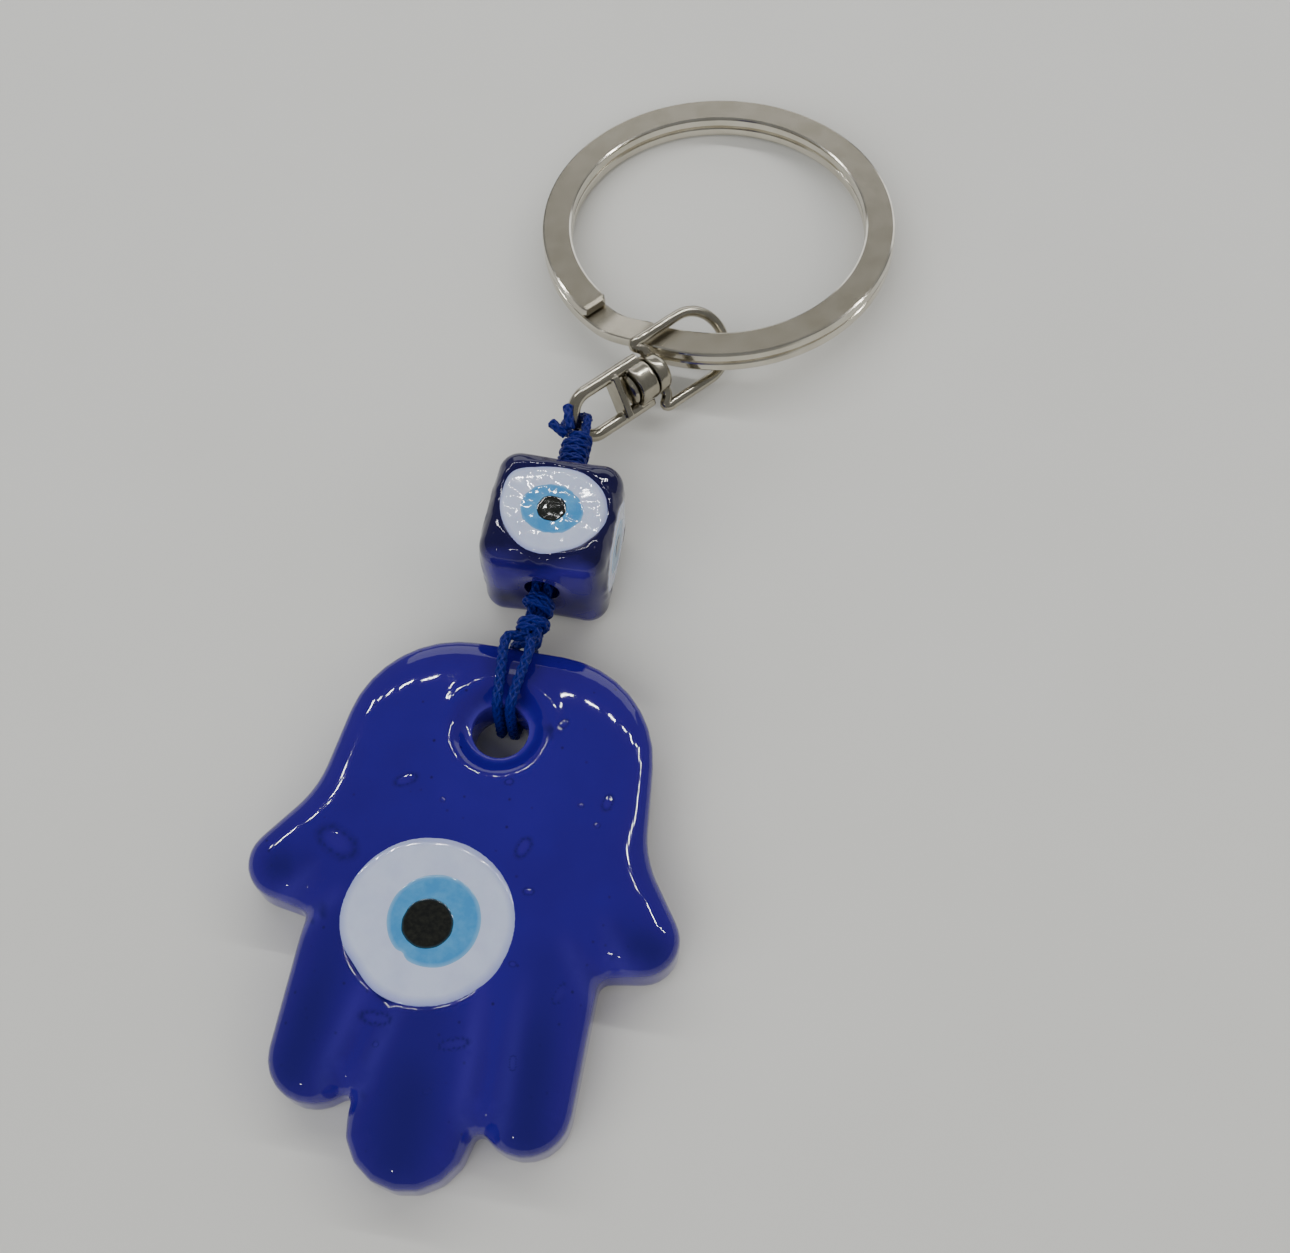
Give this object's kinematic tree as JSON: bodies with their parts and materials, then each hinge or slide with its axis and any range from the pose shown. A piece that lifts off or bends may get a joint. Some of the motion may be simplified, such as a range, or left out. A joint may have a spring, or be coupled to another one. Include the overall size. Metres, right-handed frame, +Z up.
{
  "type": "evil eye ornament key ring",
  "caption": "Glass hand pendant with an inlaid eye, a cube eye bead, knotted cord, a swivel with a wire bail, and a flat split ring.",
  "frame": {"origin": "on the hand's flat back, behind the palm's centre, on the hand's centre line", "axes": "+Y from the hand to the split ring, +Z up as the ornament lies on its back, +X to the right seen from above"},
  "size_m": [0.0382, 0.0969, 0.0097],
  "materials": {
    "hand_glass": "fire-polished cobalt glass, translucent",
    "bead_glass": "fire-polished deep cobalt glass, translucent",
    "white_glass": "opaque white glass, glossy",
    "blue_glass": "opaque light blue glass, glossy",
    "black_glass": "opaque black glass, glossy",
    "cord": "braided nylon cord, satin sheen",
    "nickel_cast": "bright nickel plate on cast metal and wire",
    "nickel_strip": "bright nickel plate on rolled steel strip"
  },
  "bodies": {
    "hand": {"hand_glass": "hand_glass", "hand_eye_white": "white_glass", "hand_eye_iris": "blue_glass", "hand_eye_pupil": "black_glass"},
    "cord": {"hand_loop_left": "cord", "hand_loop_right": "cord", "knot_lower": "cord", "knot_middle": "cord", "cord_through_left": "cord", "cord_through_right": "cord", "knot_wrapped": "cord", "cord_hitch": "cord", "cord_end_short": "cord", "cord_end_long": "cord"},
    "bead": {"bead_glass": "bead_glass", "bead_white_1": "white_glass", "bead_white_2": "white_glass", "bead_white_3": "white_glass", "bead_white_4": "white_glass", "bead_iris_1": "blue_glass", "bead_iris_2": "blue_glass", "bead_iris_3": "blue_glass", "bead_iris_4": "blue_glass", "bead_pupil_1": "black_glass", "bead_pupil_2": "black_glass", "bead_pupil_3": "black_glass", "bead_pupil_4": "black_glass"},
    "swivel_body": {"swivel_body": "nickel_cast"},
    "swivel_head": {"swivel_head": "nickel_cast", "swivel_rivet": "nickel_cast"},
    "bail": {"ring_bail": "nickel_cast"},
    "ring": {"split_ring": "nickel_strip"}
  },
  "joints": [
    {"name": "hand_swing", "type": "hinge", "parent": "hand", "child": "cord", "pos_m": [0, 0.021, 0.00432], "axis": [1, 0, 0], "range_deg": [-45, 75], "deforming": ["hand_loop_left", "hand_loop_right"]},
    {"name": "bead_spin", "type": "hinge", "parent": "cord", "child": "bead", "pos_m": [0.0006, 0.0295, 0.00432], "axis": [0, 1, 0], "continuous": true},
    {"name": "hitch_swing", "type": "hinge", "parent": "cord", "child": "swivel_body", "pos_m": [0, 0.04025, 0.00367], "axis": [0.4283, -0.4274, -0.7962], "range_deg": [-35, 35]},
    {"name": "head_spin", "type": "hinge", "parent": "swivel_body", "child": "swivel_head", "pos_m": [0.00527, 0.04676, 0.00301], "axis": [0.6274, 0.7748, -0.0785], "continuous": true},
    {"name": "bail_swing", "type": "hinge", "parent": "swivel_head", "child": "bail", "pos_m": [0.00527, 0.04676, 0.00301], "axis": [0.582, -0.5335, -0.6138], "range_deg": [-30, 60]},
    {"name": "ring_spin", "type": "hinge", "parent": "bail", "child": "ring", "pos_m": [0.00777, 0.06308, 0.00191], "axis": [-0.05, 0.0833, 0.9953], "continuous": true}
  ]
}
